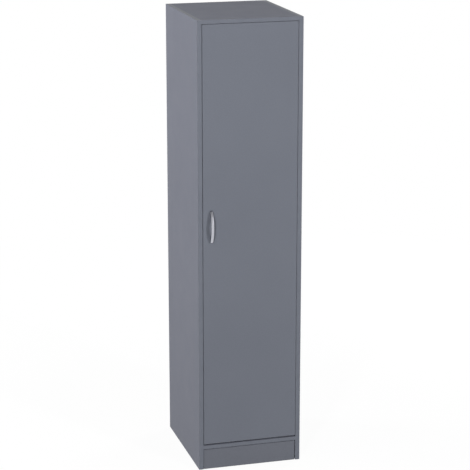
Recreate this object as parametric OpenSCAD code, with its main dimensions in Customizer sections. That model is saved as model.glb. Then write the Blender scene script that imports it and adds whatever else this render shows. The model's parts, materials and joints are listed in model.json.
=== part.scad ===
// Tall wardrobe with one inset door, a hat shelf and a hanging rail.
// Millimetres. Z is up and the door faces -Y. The origin is on the floor, below
// the middle of the whole object with its handle.

/* [Carcass] */
// Width over the two side panels
body_w = 419; // [350:1:600]
// Depth of the side panels
body_d = 496; // [400:1:650]
// Height of the side panels, which stand on the floor
body_h = 1800; // [1400:10:2200]
// Thickness of the side panels
side_t = 18; // [16:1:25]
// Thickness of the top panel
top_t = 15; // [15:1:22]
// Thickness of the bottom panel
bottom_t = 15; // [15:1:22]
// Thickness of the edge band on every front edge
band_t = 1; // [0.4:0.1:2]

/* [Door] */
// Thickness of the door
door_t = 18; // [16:1:22]
// Gap between the door's free edge and the left side panel
gap_side = 2; // [1.5:0.1:3]
// Gap between the door's hinged edge and the right side panel
gap_hinge = 1.4; // [1.3:0.1:1.6]
// Gap between the door and the top panel
gap_top = 1.5; // [1:0.1:4]
// Gap between the door and the bottom panel
gap_bottom = 6; // [1:0.1:8]

/* [Plinth] */
// Height of the bottom panel's underside over the floor
plinth_h = 85; // [60:1:150]
// Thickness of the plinth
plinth_t = 15; // [12:1:22]
// How far the plinth stands behind the front edges
plinth_setback = 3; // [0:0.5:40]
// Gap between the plinth's left end and the side panel
plinth_gap_left = 2; // [0.3:0.1:5]
// Gap between the plinth's right end and the side panel
plinth_gap_right = 3; // [0.3:0.1:5]
// Gap between the plinth and the bottom panel
plinth_top_gap = 3; // [0.3:0.1:4]
// Distance of each plinth bracket from the middle
bracket_spread = 120; // [60:1:140]
// Width of a plinth bracket
bracket_w = 30; // [24:1:50]
// Length of a plinth bracket's leg
bracket_leg = 30; // [24:1:50]
// Sheet thickness of every bracket
bracket_t = 2; // [1.5:0.1:4]

/* [Back] */
// Thickness of the back panel
back_t = 3; // [2.5:0.1:6]
// Distance from the rear edges to the back panel
back_inset = 10; // [6:1:20]
// Depth of the groove that holds the back panel
groove_depth = 6; // [4:0.5:8]
// Play between the back panel and each face of its groove
groove_play = 0.2; // [0.1:0.05:0.5]

/* [Hat shelf] */
// Thickness of the hat shelf
shelf_t = 15; // [15:1:22]
// Clear height above the hat shelf
hat_h = 305; // [220:1:400]
// How far the hat shelf's front edge stands behind the door
shelf_setback = 16; // [5:1:60]

/* [Joinery] */
// Diameter of a cam lock's bore
cam_d = 15; // [12:0.5:15]
// Depth of a cam lock's bore
cam_depth = 12.5; // [11:0.1:13]
// Distance from a panel's end to the middle of its cam lock
cam_reach = 34; // [24:1:40]
// Distance from a panel's front edge, or from the back panel, to a cam lock
cam_inset = 60; // [40:1:90]
// Diameter of the hole for a cam bolt in a panel's end
bolt_hole_d = 8; // [7:0.1:9]
// Diameter of a cam bolt's thread
bolt_thread_d = 5; // [4:0.1:6]
// Depth of a cam bolt's thread in the side panel
bolt_thread_len = 11; // [8:0.5:12]
// Diameter of a wood dowel
dowel_d = 8; // [6:1:10]
// Length of a wood dowel
dowel_len = 30; // [24:1:40]
// Length of a wood dowel inside the side panel
dowel_in_side = 10; // [8:0.5:12]
// Distance between a cam lock and the dowel beside it
dowel_pitch = 32; // [24:1:64]

/* [Hanging rail] */
// Height of the oval rail
rail_h = 30; // [25:1:35]
// Width of the oval rail
rail_w = 15; // [12:1:20]
// Wall of the oval rail
rail_wall = 1; // [0.8:0.1:2]
// Drop from the hat shelf's underside to the middle of the rail
rail_drop = 45; // [38:1:80]
// Thickness of a rail socket's flange
socket_flange_t = 3; // [2:0.5:5]
// Wall of a rail socket round the rail
socket_wall = 2; // [1.5:0.1:4]
// Length of a rail socket
socket_len = 13; // [8:1:25]
// Play between the rail and its socket
rail_play = 0.3; // [0.1:0.05:0.5]

/* [Concealed hinges] */
// Distance from the door's top or bottom to the nearest hinge
hinge_end = 100; // [80:1:200]
// Diameter of a hinge cup
cup_d = 35; // [34:0.5:36]
// Depth of a hinge cup in the door
cup_depth = 11.5; // [11:0.1:12.5]
// Distance from the door's edge to the cup
cup_edge = 5.6; // [5.4:0.1:5.8]
// Wall of a hinge cup
cup_wall = 2.2; // [1.5:0.1:2.3]
// Thickness of a hinge cup's floor
cup_floor = 1; // [0.8:0.1:1.2]
// Thickness of the flange that lies on the door
flange_t = 1.2; // [1:0.1:1.5]
// Distance of a cup screw from the middle of the cup, along the door's edge
cup_screw_spread = 22.5; // [22:0.5:26]
// Distance of the cup screws from the middle of the cup, away from the edge
cup_screw_back = 9.5; // [6:0.5:10]
// Distance from the side panel to the pivot in the hinge arm
arm_pivot_in = 12; // [11.5:0.1:12.5]
// Distance from the front face to the pivot in the hinge arm
arm_pivot_back = 25.5; // [25.2:0.1:26]
// How far a hinge link reaches from that pivot across to the cup
link_across = 21.2; // [20.8:0.1:21.6]
// How far a hinge link reaches from that pivot forwards into the cup
link_forward = 14.9; // [14.5:0.1:15.2]
// Width of a hinge link
link_w = 10; // [8:0.5:10.4]
// Sheet thickness of a hinge link
link_t = 2; // [1.6:0.1:2.2]
// Sheet thickness of a hinge arm
arm_t = 1.2; // [1:0.1:1.6]
// Distance from the front face to the end of a hinge arm
arm_end = 72; // [70:1:90]
// Distance from the pivot to the outer face of a hinge arm
arm_rise = 4.2; // [3.8:0.1:4.5]
// Distance from the pivot back to the hinge arm's outer face
web_back = 7.5; // [7:0.1:8]
// Distance from each end of the hinge arm's outer face to its screw
arm_screw_inset = 9.5; // [9:0.1:10]
// Distance from the front face to the screws of a mounting plate
plate_back = 55; // [50:1:60]
// Thickness of a mounting plate's wings
plate_t = 2.4; // [1.5:0.1:3]
// Distance between the two screws of a mounting plate
plate_pitch = 32; // [30:1:40]
// Length of a mounting plate past each of its screws
plate_margin = 8; // [6:0.5:10]

/* [Handle] */
// Length of the bow handle
handle_len = 128; // [120:1:140]
// Width of the bow handle
handle_w = 10.5; // [10:0.5:16]
// Height of the bow over the door
handle_rise = 26; // [24:0.5:32]
// Thickness of the bow at its middle
handle_t = 4.5; // [4:0.1:6]
// Height of the bow's face over the door at each end
handle_end_t = 7; // [2:0.5:9]
// Half of the length of the finger gap at the door
handle_gap = 40; // [36:0.5:41]
// Radius of the bow's crowned face, across its width
handle_crown = 14; // [13.5:0.5:20]
// Distance between the handle's screws
handle_centres = 96; // [94:1:104]
// Distance from the door's free edge to the middle of the handle
handle_from_edge = 32.8; // [28:0.1:60]
// Height of the middle of the handle over the floor
handle_z = 1000; // [850:1:1100]

/* [Door stops] */
// Length of a door stop
stop_len = 40; // [30:1:60]
// How far a door stop stands out from the side panel
stop_w = 15; // [14:1:20]
// Depth of a door stop
stop_t = 14; // [12:1:20]
// Distance from the door's top or bottom to the nearest door stop
stop_end = 200; // [150:1:300]
// Distance from each end of a door stop to its screw
stop_screw_inset = 8; // [6:0.5:12]
// Thickness of the soft pad on a door stop
pad_t = 1.7; // [1:0.1:3]
// Diameter of the soft pad on a door stop
pad_d = 8; // [6:0.5:10]
// Distance from a soft pad to the free side of its door stop
pad_inset = 1; // [0.5:0.5:3]

/* [Wall bracket] */
// Width of the wall bracket
wall_w = 30; // [24:1:50]
// Length of each leg of the wall bracket
wall_leg = 40; // [36:1:60]
// Distance from the wall bracket's upright leg to its rear screw
wall_screw_y = 10; // [8:0.5:12]
// Distance between the wall bracket's two screws
wall_screw_pitch = 18; // [14:1:20]
// Distance from the top panel's underside to the anchor hole
anchor_drop = 25; // [20:1:30]
// Diameter of the anchor hole in the wall bracket
anchor_d = 5.5; // [4.5:0.1:7]
// Diameter of the hole behind it in the back panel
anchor_access_d = 12; // [10:0.5:16]

/* [Fits] */
// Play all round a screw, dowel, bolt, pin or cam in its hole
hole_play = 0.1; // [0.05:0.05:0.2]
// Play between pieces that stand next to each other
seat_play = 0.3; // [0.1:0.05:0.4]
// Play between a moving part and what guides it
slip_play = 0.2; // [0.1:0.05:0.3]

/* [Hidden] */
$fn = 48;
// How far a cutting shape runs past the face that it opens
cut = 1;

// Colours of the finishes
grey_board = [0.45, 0.46, 0.50];
grey_band = [0.44, 0.45, 0.49];
hardboard = [0.50, 0.50, 0.53];
steel = [0.70, 0.71, 0.72];
nickel = [0.66, 0.66, 0.67];
zinc = [0.78, 0.78, 0.79];
beech = [0.80, 0.66, 0.46];
plastic = [0.30, 0.31, 0.33];
soft_pad = [0.85, 0.86, 0.87];

// Main planes of the carcass
outer_x = body_w / 2;
inner_x = outer_x - side_t;
front_y = (handle_rise - body_d) / 2;
rear_y = front_y + body_d;
board_y = front_y + band_t;
back_rear_y = rear_y - back_inset;
back_front_y = back_rear_y - back_t;
floor_z = plinth_h + bottom_t;
top_z = body_h - top_t;
shelf_top_z = top_z - hat_h;
shelf_z = shelf_top_z - shelf_t;
shelf_y = front_y + door_t + shelf_setback;

// Door
door_x0 = -inner_x + gap_side;
door_x1 = inner_x - gap_hinge;
door_z0 = floor_z + gap_bottom;
door_z1 = top_z - gap_top;
door_back_y = front_y + door_t;

// Panels that lie between the sides: underside, thickness and front edge
ROWS = [[plinth_h, bottom_t, front_y], [shelf_z, shelf_t, shelf_y], [top_z, top_t, front_y]];
SIDES = [-1, 1];
ENDS = [0, 1];
function cam_y(row, end) = end == 0 ? row[2] + cam_inset : back_front_y - cam_inset;
function dowel_y(row, end) = cam_y(row, end) + (end == 0 ? dowel_pitch : -dowel_pitch);
function mid_z(row) = row[0] + row[1] / 2;

// Cam lock and its bolt
cam_r = cam_d / 2 - hole_play;
bolt_r = 3;
bolt_head_r = 3.4;
bolt_head_len = 4;
cam_slot_w = 2 * bolt_head_r + 4 * hole_play;
driver_slot = 1.4;
driver_depth = 1.5;

// Screws: shank radius, head radius, head height and length of the shank
WOOD_SCREW = [1.75, 3.5, 2, 12];
RAIL_SCREW = [1.75, 3.5, 2, 13];
STOP_SCREW = [1.75, 3.5, 2, 25];
CUP_SCREW = [1.75, 3.5, 1.8, 13];
PLATE_SCREW = [2.5, 4.5, 2, 14];
ARM_SCREW = [2, 3.6, 2, 10];
HANDLE_SCREW = [2, 4, 2.2, 26];
point_len = 3;

// Hanging rail, where the slots are true half rounds
rail_y = (door_back_y + back_front_y) / 2;
rail_z = shelf_z - rail_drop;
ear_r = 6;
ear_z = rail_h / 2 + socket_wall + ear_r;

// Hinges, measured from the right side panel's inner face and the front face.
// The door turns about the upright line at [-12, 5.2], inside its own thickness.
HINGE_Z = [door_z0 + hinge_end, (door_z0 + door_z1) / 2, door_z1 - hinge_end];
cup_x = -(gap_hinge + cup_edge + cup_d / 2);
cup_inner_r = cup_d / 2 - cup_wall;
flange_lip = 0.5;
flange_r = cup_d / 2 + flange_lip;
wing_r = 6;
arm_pivot = [-arm_pivot_in, arm_pivot_back];
arm_gap = 0.6;
arm_wall_z = link_w / 2 + arm_gap;
arm_out_z = arm_wall_z + arm_t;
arm_eye_r = 3;
arm_outer_x = -(arm_pivot_in + arm_rise);
arm_inner_x = -6;
web_y = arm_pivot_back + web_back;
rib_w = 2 * (arm_wall_z - slip_play);
rib_rise = -arm_outer_x - arm_t - slip_play;
rib_inset = 1.5;
rib_y0 = web_y + rib_inset;
rib_y1 = arm_end - rib_inset;
plate_w = 20;
plate_h = plate_pitch + 2 * plate_margin;
ARM_SCREW_Y = [web_y + arm_screw_inset, arm_end - arm_screw_inset];
pin_r = 1.5;
pin_head_r = 2.4;
pin_head_t = 0.8;

// Hinge link: a bent strip from the arm's pivot into the cup
link_tip = arm_pivot + [-link_across, -link_forward];
LINK_CURVE = [arm_pivot, arm_pivot + [-1.13 * link_across, 0.36 * link_forward],
    arm_pivot + [-1.51 * link_across, 0.7 * link_forward], link_tip];
link_steps = 20;
link_eye_r = 2.9;
tip_eye_r = 2.2;
tip_pin_r = 1.2;
tip_pin_z = 7;

// Bow handle: the arc over the fingers and the arc that cuts the finger gap
bow_rise = handle_rise - handle_end_t;
bow_r = (pow(handle_len / 2, 2) + pow(bow_rise, 2)) / (2 * bow_rise);
gap_rise = handle_rise - handle_t;
gap_r = (pow(handle_gap, 2) + pow(gap_rise, 2)) / (2 * gap_rise);
handle_x = door_x0 + handle_from_edge;
handle_bore = 9;

// Plinth, brackets and stops
plinth_y = front_y + plinth_setback;
plinth_back_y = plinth_y + plinth_t;
leg_hole = bracket_leg * 0.6;
wall_front_y = back_front_y - seat_play - bracket_t;
anchor_z = top_z - anchor_drop;
WALL_SCREW_Y = [for (step = ENDS) wall_front_y - wall_screw_y - step * wall_screw_pitch];
STOP_Z = [door_z0 + stop_end, door_z1 - stop_end];
stop_y = door_back_y + seat_play + pad_t;
stop_screw_z = stop_len / 2 - stop_screw_inset;

// A box given by its two opposite corners
module block(low, high) {
    translate(low)
        cube(high - low);
}

// A rod from a point, along +X, +Y or +Z
module rod_x(point, r, len) {
    translate(point)
        rotate([0, 90, 0])
            cylinder(r = r, h = len);
}

module rod_y(point, r, len) {
    translate(point)
        rotate([-90, 0, 0])
            cylinder(r = r, h = len);
}

module rod_z(point, r, len) {
    translate(point)
        cylinder(r = r, h = len);
}

// A screw whose head sits on the XY plane and whose shank points down
module screw(kind) {
    difference() {
        union() {
            cylinder(r1 = kind[1], r2 = kind[1] * 0.8, h = kind[2]);
            translate([0, 0, -kind[3] + point_len])
                cylinder(r = kind[0], h = kind[3] - point_len);
            translate([0, 0, -kind[3]])
                cylinder(r1 = kind[0] * 0.3, r2 = kind[0], h = point_len);
        }
        for (turn = [0, 90])
            rotate([0, 0, turn])
                translate([-kind[1] * 0.5, -0.4, kind[2] * 0.5])
                    cube([kind[1], 0.8, kind[2]]);
    }
}

// The hole that a screw's shank needs, from the XY plane down
module screw_hole(kind) {
    translate([0, 0, -kind[3] - hole_play])
        cylinder(r = kind[0] + hole_play, h = kind[3] + hole_play + cut);
}

// Turns a piece that points down so that it points out of the side panel at
// side, along -Y, along +Y or up
module towards_side(side, y, z, inset = 0) {
    translate([side * (inner_x - inset), y, z])
        rotate([0, -side * 90, 0])
            children();
}

module towards_front(x, y, z) {
    translate([x, y, z])
        rotate([-90, 0, 0])
            children();
}

module upwards(x, y, z) {
    translate([x, y, z])
        rotate([180, 0, 0])
            children();
}

// Side panels, with the groove for the back and the bores for the fittings
module side_board(side) {
    difference() {
        block([min(side * inner_x, side * outer_x), board_y, 0],
            [max(side * inner_x, side * outer_x), rear_y, body_h]);
        translate([side * inner_x, 0, 0])
            block([side < 0 ? -groove_depth : -cut, back_front_y - groove_play, -cut],
                [side < 0 ? cut : groove_depth, back_rear_y + groove_play, body_h + cut]);
        for (row = ROWS, end = ENDS) {
            towards_side(side, cam_y(row, end), mid_z(row))
                translate([0, 0, -bolt_thread_len - hole_play])
                    cylinder(d = bolt_thread_d + 2 * hole_play, h = bolt_thread_len + hole_play + cut);
            towards_side(side, dowel_y(row, end), mid_z(row))
                translate([0, 0, -dowel_in_side - hole_play])
                    cylinder(d = dowel_d + 2 * hole_play, h = dowel_in_side + hole_play + cut);
        }
        for (up = SIDES)
            towards_side(side, rail_y, rail_z + up * ear_z, socket_flange_t)
                screw_hole(RAIL_SCREW);
        if (side < 0)
            for (z = STOP_Z, up = SIDES)
                towards_side(side, stop_y + stop_t / 2, z + up * stop_screw_z, stop_w)
                    screw_hole(STOP_SCREW);
        if (side > 0)
            for (z = HINGE_Z, up = SIDES)
                towards_side(side, front_y + plate_back, z + up * plate_pitch / 2, plate_t)
                    screw_hole(PLATE_SCREW);
    }
}

module left_side_panel() {
    color(grey_board)
        side_board(-1);
}

module right_side_panel() {
    color(grey_board)
        side_board(1);
}

// Bores of a panel that lies between the sides
module row_bores(row) {
    dowel_depth = dowel_len - dowel_in_side + hole_play;
    for (side = SIDES, end = ENDS) {
        rod_z([side * (inner_x - cam_reach), cam_y(row, end), row[0] - cut], cam_d / 2, cam_depth + cut);
        end_bore(side, cam_y(row, end), mid_z(row), bolt_hole_d / 2, cam_reach);
        end_bore(side, dowel_y(row, end), mid_z(row), dowel_d / 2 + hole_play, dowel_depth);
    }
}

// A bore of this depth into the panel's end at side
module end_bore(side, y, z, r, depth) {
    rod_x([side < 0 ? -inner_x - cut : inner_x - depth, y, z], r, depth + cut);
}

module top_panel() {
    color(grey_board)
        difference() {
            block([-inner_x, board_y, top_z], [inner_x, rear_y, body_h]);
            block([-inner_x - cut, back_front_y - groove_play, top_z - cut],
                [inner_x + cut, back_rear_y + groove_play, top_z + groove_depth]);
            row_bores(ROWS[2]);
            for (y = WALL_SCREW_Y)
                upwards(0, y, top_z - bracket_t)
                    screw_hole(WOOD_SCREW);
        }
}

module bottom_panel() {
    color(grey_board)
        difference() {
            block([-inner_x, board_y, plinth_h], [inner_x, rear_y, floor_z]);
            block([-inner_x - cut, back_front_y - groove_play, floor_z - groove_depth],
                [inner_x + cut, back_rear_y + groove_play, floor_z + cut]);
            row_bores(ROWS[0]);
            for (side = SIDES)
                upwards(side * bracket_spread, plinth_back_y + leg_hole, plinth_h - bracket_t)
                    screw_hole(WOOD_SCREW);
        }
}

module hat_shelf() {
    color(grey_board)
        difference() {
            block([-inner_x, shelf_y + band_t, shelf_z], [inner_x, back_front_y - seat_play, shelf_top_z]);
            row_bores(ROWS[1]);
        }
}

module back_panel() {
    reach = groove_depth - seat_play;
    color(hardboard)
        difference() {
            block([-inner_x - reach, back_front_y, floor_z - reach],
                [inner_x + reach, back_rear_y, top_z + reach]);
            rod_y([0, back_front_y - cut, anchor_z], anchor_access_d / 2, back_t + 2 * cut);
        }
}

module plinth() {
    color(grey_board)
        difference() {
            block([-inner_x + plinth_gap_left, plinth_y, 0],
                [inner_x - plinth_gap_right, plinth_back_y, plinth_h - plinth_top_gap]);
            for (side = SIDES)
                towards_front(side * bracket_spread, plinth_back_y + bracket_t, plinth_h - leg_hole)
                    screw_hole(WOOD_SCREW);
        }
}

// Edge bands, one strip on each front edge
module band_strip(low, high) {
    color(grey_band)
        block(low, high);
}

module left_edge_band() {
    band_strip([-outer_x, front_y, 0], [-inner_x, board_y, body_h]);
}

module right_edge_band() {
    band_strip([inner_x, front_y, 0], [outer_x, board_y, body_h]);
}

module top_edge_band() {
    band_strip([-inner_x, front_y, top_z], [inner_x, board_y, body_h]);
}

module bottom_edge_band() {
    band_strip([-inner_x, front_y, plinth_h], [inner_x, board_y, floor_z]);
}

module shelf_edge_band() {
    band_strip([-inner_x, shelf_y, shelf_z], [inner_x, shelf_y + band_t, shelf_top_z]);
}

// Cam fittings: each bolt is screwed into a side panel, and its lock turns in
// the panel's underside
module cam_bolt() {
    head_end = cam_reach - hole_play;
    translate([0, 0, -bolt_thread_len])
        cylinder(d = bolt_thread_d, h = bolt_thread_len);
    cylinder(r = bolt_r, h = head_end - bolt_head_len);
    translate([0, 0, head_end - bolt_head_len])
        cylinder(r = bolt_head_r, h = bolt_head_len);
}

module cam_bolts() {
    color(zinc)
        for (row = ROWS, side = SIDES, end = ENDS)
            towards_side(side, cam_y(row, end), mid_z(row))
                cam_bolt();
}

module cam_lock(row, side, end) {
    height = cam_depth - hole_play;
    translate([side * (inner_x - cam_reach), cam_y(row, end), row[0]])
        difference() {
            cylinder(r = cam_r, h = height);
            // Mouth that takes the bolt's head
            translate([side < 0 ? -cam_d : -hole_play, -cam_slot_w / 2, row[1] / 2 - cam_slot_w / 2])
                cube([cam_d + hole_play, cam_slot_w, cam_slot_w]);
            // Cross recess for the screwdriver
            for (turn = [45, 135])
                rotate([0, 0, turn])
                    translate([-cam_r * 0.7, -driver_slot / 2, -cut])
                        cube([cam_r * 1.4, driver_slot, driver_depth + cut]);
        }
}

module cam_locks() {
    color(zinc)
        for (row = ROWS, side = SIDES, end = ENDS)
            cam_lock(row, side, end);
}

module wood_dowels() {
    chamfer = 1;
    color(beech)
        for (row = ROWS, side = SIDES, end = ENDS)
            towards_side(side, dowel_y(row, end), mid_z(row))
                translate([0, 0, -dowel_in_side]) {
                    translate([0, 0, chamfer])
                        cylinder(d = dowel_d, h = dowel_len - 2 * chamfer);
                    cylinder(d1 = dowel_d - 2 * chamfer, d2 = dowel_d, h = chamfer);
                    translate([0, 0, dowel_len - chamfer])
                        cylinder(d1 = dowel_d, d2 = dowel_d - 2 * chamfer, h = chamfer);
                }
}

// Angle brackets between the plinth and the bottom panel
module plinth_brackets() {
    color(steel)
        for (side = SIDES)
            difference() {
                translate([side * bracket_spread - bracket_w / 2, plinth_back_y, plinth_h]) {
                    block([0, 0, -bracket_leg], [bracket_w, bracket_t, 0]);
                    block([0, 0, -bracket_t], [bracket_w, bracket_leg, 0]);
                }
                towards_front(side * bracket_spread, plinth_back_y + bracket_t, plinth_h - leg_hole)
                    screw_hole(WOOD_SCREW);
                upwards(side * bracket_spread, plinth_back_y + leg_hole, plinth_h - bracket_t)
                    screw_hole(WOOD_SCREW);
            }
}

module plinth_screws() {
    color(zinc)
        for (side = SIDES) {
            towards_front(side * bracket_spread, plinth_back_y + bracket_t, plinth_h - leg_hole)
                screw(WOOD_SCREW);
            upwards(side * bracket_spread, plinth_back_y + leg_hole, plinth_h - bracket_t)
                screw(WOOD_SCREW);
        }
}

// Oval hanging rail and the sockets that hold its ends
module oval(w, h) {
    for (up = SIDES)
        translate([0, up * (h - w) / 2])
            circle(d = w);
    square([w, h - w], center = true);
}

module along_x(x, len) {
    translate([x, rail_y, rail_z])
        rotate([90, 0, 90])
            linear_extrude(len)
                children();
}

module hanging_rail() {
    end_x = inner_x - seat_play;
    color(steel)
        along_x(-end_x, 2 * end_x)
            difference() {
                oval(rail_w, rail_h);
                oval(rail_w - 2 * rail_wall, rail_h - 2 * rail_wall);
            }
}

module rail_socket(side) {
    hole_w = rail_w + 2 * rail_play;
    hole_h = rail_h + 2 * rail_play;
    difference() {
        union() {
            along_x(side < 0 ? -inner_x : inner_x - socket_flange_t, socket_flange_t) {
                oval(hole_w + 2 * socket_wall, hole_h + 2 * socket_wall);
                for (up = SIDES)
                    translate([0, up * ear_z])
                        circle(r = ear_r);
                square([2 * ear_r, 2 * ear_z], center = true);
            }
            along_x(side < 0 ? -inner_x : inner_x - socket_len, socket_len)
                oval(hole_w + 2 * socket_wall, hole_h + 2 * socket_wall);
        }
        along_x(side < 0 ? -inner_x - cut : inner_x - socket_len - cut, socket_len + 2 * cut)
            oval(hole_w, hole_h);
        for (up = SIDES)
            towards_side(side, rail_y, rail_z + up * ear_z, socket_flange_t)
                screw_hole(RAIL_SCREW);
    }
}

module rail_socket_left() {
    color(plastic)
        rail_socket(-1);
}

module rail_socket_right() {
    color(plastic)
        rail_socket(1);
}

module rail_screws() {
    color(zinc)
        for (side = SIDES, up = SIDES)
            towards_side(side, rail_y, rail_z + up * ear_z, socket_flange_t)
                screw(RAIL_SCREW);
}

// Hinge pieces are drawn from the side panel's inner face and the front face
module at_hinge(z) {
    translate([inner_x, front_y, z])
        children();
}

module hinge_plate(z) {
    color(nickel)
        difference() {
            at_hinge(z) {
                block([-plate_t, plate_back - plate_w / 2, -plate_h / 2],
                    [0, plate_back + plate_w / 2, plate_h / 2]);
                block([-rib_rise, rib_y0, -rib_w / 2], [0, rib_y1, rib_w / 2]);
            }
            for (up = SIDES)
                towards_side(1, front_y + plate_back, z + up * plate_pitch / 2, plate_t)
                    screw_hole(PLATE_SCREW);
            for (y = ARM_SCREW_Y)
                towards_side(1, front_y + y, z, -arm_outer_x)
                    screw_hole(ARM_SCREW);
        }
}

module arm_side() {
    translate(arm_pivot)
        circle(r = arm_eye_r);
    translate([arm_outer_x, arm_pivot[1]])
        square([arm_inner_x - arm_outer_x, arm_end - arm_pivot[1]]);
}

module hinge_arm(z) {
    color(nickel)
        difference() {
            at_hinge(z) {
                for (low = [-arm_out_z, arm_wall_z])
                    translate([0, 0, low])
                        linear_extrude(arm_t)
                            arm_side();
                block([arm_outer_x, web_y, -arm_out_z], [arm_outer_x + arm_t, arm_end, arm_out_z]);
            }
            at_hinge(z)
                rod_z([arm_pivot[0], arm_pivot[1], -arm_out_z - cut],
                    pin_r + hole_play, 2 * (arm_out_z + cut));
            for (y = ARM_SCREW_Y)
                towards_side(1, front_y + y, z, -arm_outer_x)
                    screw_hole(ARM_SCREW);
        }
}

module plate_screws() {
    color(zinc)
        for (z = HINGE_Z, up = SIDES)
            towards_side(1, front_y + plate_back, z + up * plate_pitch / 2, plate_t)
                screw(PLATE_SCREW);
}

module arm_screws() {
    color(zinc)
        for (z = HINGE_Z, y = ARM_SCREW_Y)
            towards_side(1, front_y + y, z, -arm_outer_x)
                screw(ARM_SCREW);
}

module arm_pins() {
    color(steel)
        for (z = HINGE_Z)
            at_hinge(z)
                translate([arm_pivot[0], arm_pivot[1], 0]) {
                    rod_z([0, 0, -arm_out_z], pin_r, 2 * arm_out_z);
                    rod_z([0, 0, arm_out_z], pin_head_r, pin_head_t);
                    rod_z([0, 0, -arm_out_z - pin_head_t], pin_head_r, pin_head_t);
                }
}

// Cup in the door, with the flange that its two screws hold
module hinge_cup(z) {
    color(nickel)
        at_hinge(z)
            difference() {
                union() {
                    rod_y([cup_x, door_t - cup_depth, 0], cup_d / 2, cup_depth + flange_t / 2);
                    rod_y([cup_x, door_t, 0], flange_r, flange_t);
                    for (up = SIDES)
                        rod_y([cup_x - cup_screw_back, door_t, up * cup_screw_spread], wing_r, flange_t);
                    block([cup_x - cup_screw_back - wing_r, door_t, -cup_screw_spread],
                        [cup_x - cup_screw_back + wing_r, door_t + flange_t, cup_screw_spread]);
                }
                rod_y([cup_x, door_t - cup_depth + cup_floor, 0], cup_inner_r, cup_depth + cut + flange_t);
                for (up = SIDES)
                    towards_front(cup_x - cup_screw_back, door_t + flange_t, up * cup_screw_spread)
                        screw_hole(CUP_SCREW);
            }
}

module cup_screws() {
    color(zinc)
        for (z = HINGE_Z, up = SIDES)
            at_hinge(z)
                towards_front(cup_x - cup_screw_back, door_t + flange_t, up * cup_screw_spread)
                    screw(CUP_SCREW);
}

// Bent link: a strip of even thickness along a smooth curve
function curve_point(t) =
    pow(1 - t, 3) * LINK_CURVE[0] + 3 * t * pow(1 - t, 2) * LINK_CURVE[1]
    + 3 * t * t * (1 - t) * LINK_CURVE[2] + pow(t, 3) * LINK_CURVE[3];
function curve_slope(t) =
    pow(1 - t, 2) * (LINK_CURVE[1] - LINK_CURVE[0]) + 2 * t * (1 - t) * (LINK_CURVE[2] - LINK_CURVE[1])
    + t * t * (LINK_CURVE[3] - LINK_CURVE[2]);
function curve_edge(t, offset) =
    let (slope = curve_slope(t))
        curve_point(t) + offset * [-slope[1], slope[0]] / norm(slope);

module link_outline() {
    steps = [for (i = [0 : link_steps]) i / link_steps];
    polygon(concat(
        [for (t = steps) curve_edge(t, link_t / 2)],
        [for (t = steps) curve_edge(1 - t, -link_t / 2)]));
}

module hinge_link(z) {
    low = -link_w / 2;
    color(steel)
        at_hinge(z)
            difference() {
                union() {
                    translate([0, 0, low])
                        linear_extrude(link_w)
                            link_outline();
                    rod_z([arm_pivot[0], arm_pivot[1], low], link_eye_r, link_w);
                    rod_z([link_tip[0], link_tip[1], low], tip_eye_r, link_w);
                }
                rod_z([arm_pivot[0], arm_pivot[1], low - cut], pin_r + hole_play, link_w + 2 * cut);
                rod_z([link_tip[0], link_tip[1], low - cut], tip_pin_r + hole_play, link_w + 2 * cut);
            }
}

module link_pins() {
    color(steel)
        for (z = HINGE_Z)
            at_hinge(z)
                rod_z([link_tip[0], link_tip[1], -tip_pin_z], tip_pin_r, 2 * tip_pin_z);
}

// Door, its edge band and its handle
module door_panel() {
    color(grey_board)
        difference() {
            block([door_x0 + band_t, front_y, door_z0 + band_t],
                [door_x1 - band_t, door_back_y, door_z1 - band_t]);
            for (z = HINGE_Z) {
                at_hinge(z)
                    rod_y([cup_x, door_t - cup_depth - hole_play, 0],
                        cup_d / 2 + hole_play, cup_depth + cut);
                at_hinge(z)
                    for (up = SIDES)
                        towards_front(cup_x - cup_screw_back, door_t + flange_t, up * cup_screw_spread)
                            screw_hole(CUP_SCREW);
            }
            for (up = SIDES)
                rod_y([handle_x, front_y - cut, handle_z + up * handle_centres / 2],
                    HANDLE_SCREW[0] + hole_play, door_t + 2 * cut);
        }
}

module door_edge_band() {
    color(grey_band)
        difference() {
            block([door_x0, front_y, door_z0], [door_x1, door_back_y, door_z1]);
            block([door_x0 + band_t, front_y - cut, door_z0 + band_t],
                [door_x1 - band_t, door_back_y + cut, door_z1 - band_t]);
        }
}

// Side view of the bow, with its length along X and its rise along Y
module bow_outline() {
    difference() {
        intersection() {
            translate([0, handle_rise - bow_r])
                circle(r = bow_r, $fn = 180);
            translate([-handle_len / 2, 0])
                square([handle_len, handle_rise + cut]);
        }
        translate([0, gap_rise - gap_r])
            circle(r = gap_r, $fn = 180);
    }
}

module bow_handle() {
    color(nickel)
        translate([handle_x, front_y, handle_z])
            difference() {
                intersection() {
                    translate([-handle_w / 2, 0, 0])
                        rotate([0, -90, 180])
                            linear_extrude(handle_w)
                                bow_outline();
                    // The crowned face follows the same arc
                    translate([0, bow_r - handle_rise, 0])
                        rotate([0, 90, 0])
                            rotate_extrude($fn = 180)
                                intersection() {
                                    translate([0, -handle_w / 2])
                                        square([bow_r, handle_w]);
                                    translate([bow_r - handle_crown, 0])
                                        circle(r = handle_crown, $fn = 96);
                                }
                }
                for (up = SIDES)
                    rod_y([0, -handle_bore, up * handle_centres / 2],
                        HANDLE_SCREW[0] + hole_play, handle_bore + cut);
            }
}

module handle_screws() {
    color(zinc)
        for (up = SIDES)
            towards_front(handle_x, door_back_y, handle_z + up * handle_centres / 2)
                screw(HANDLE_SCREW);
}

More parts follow.
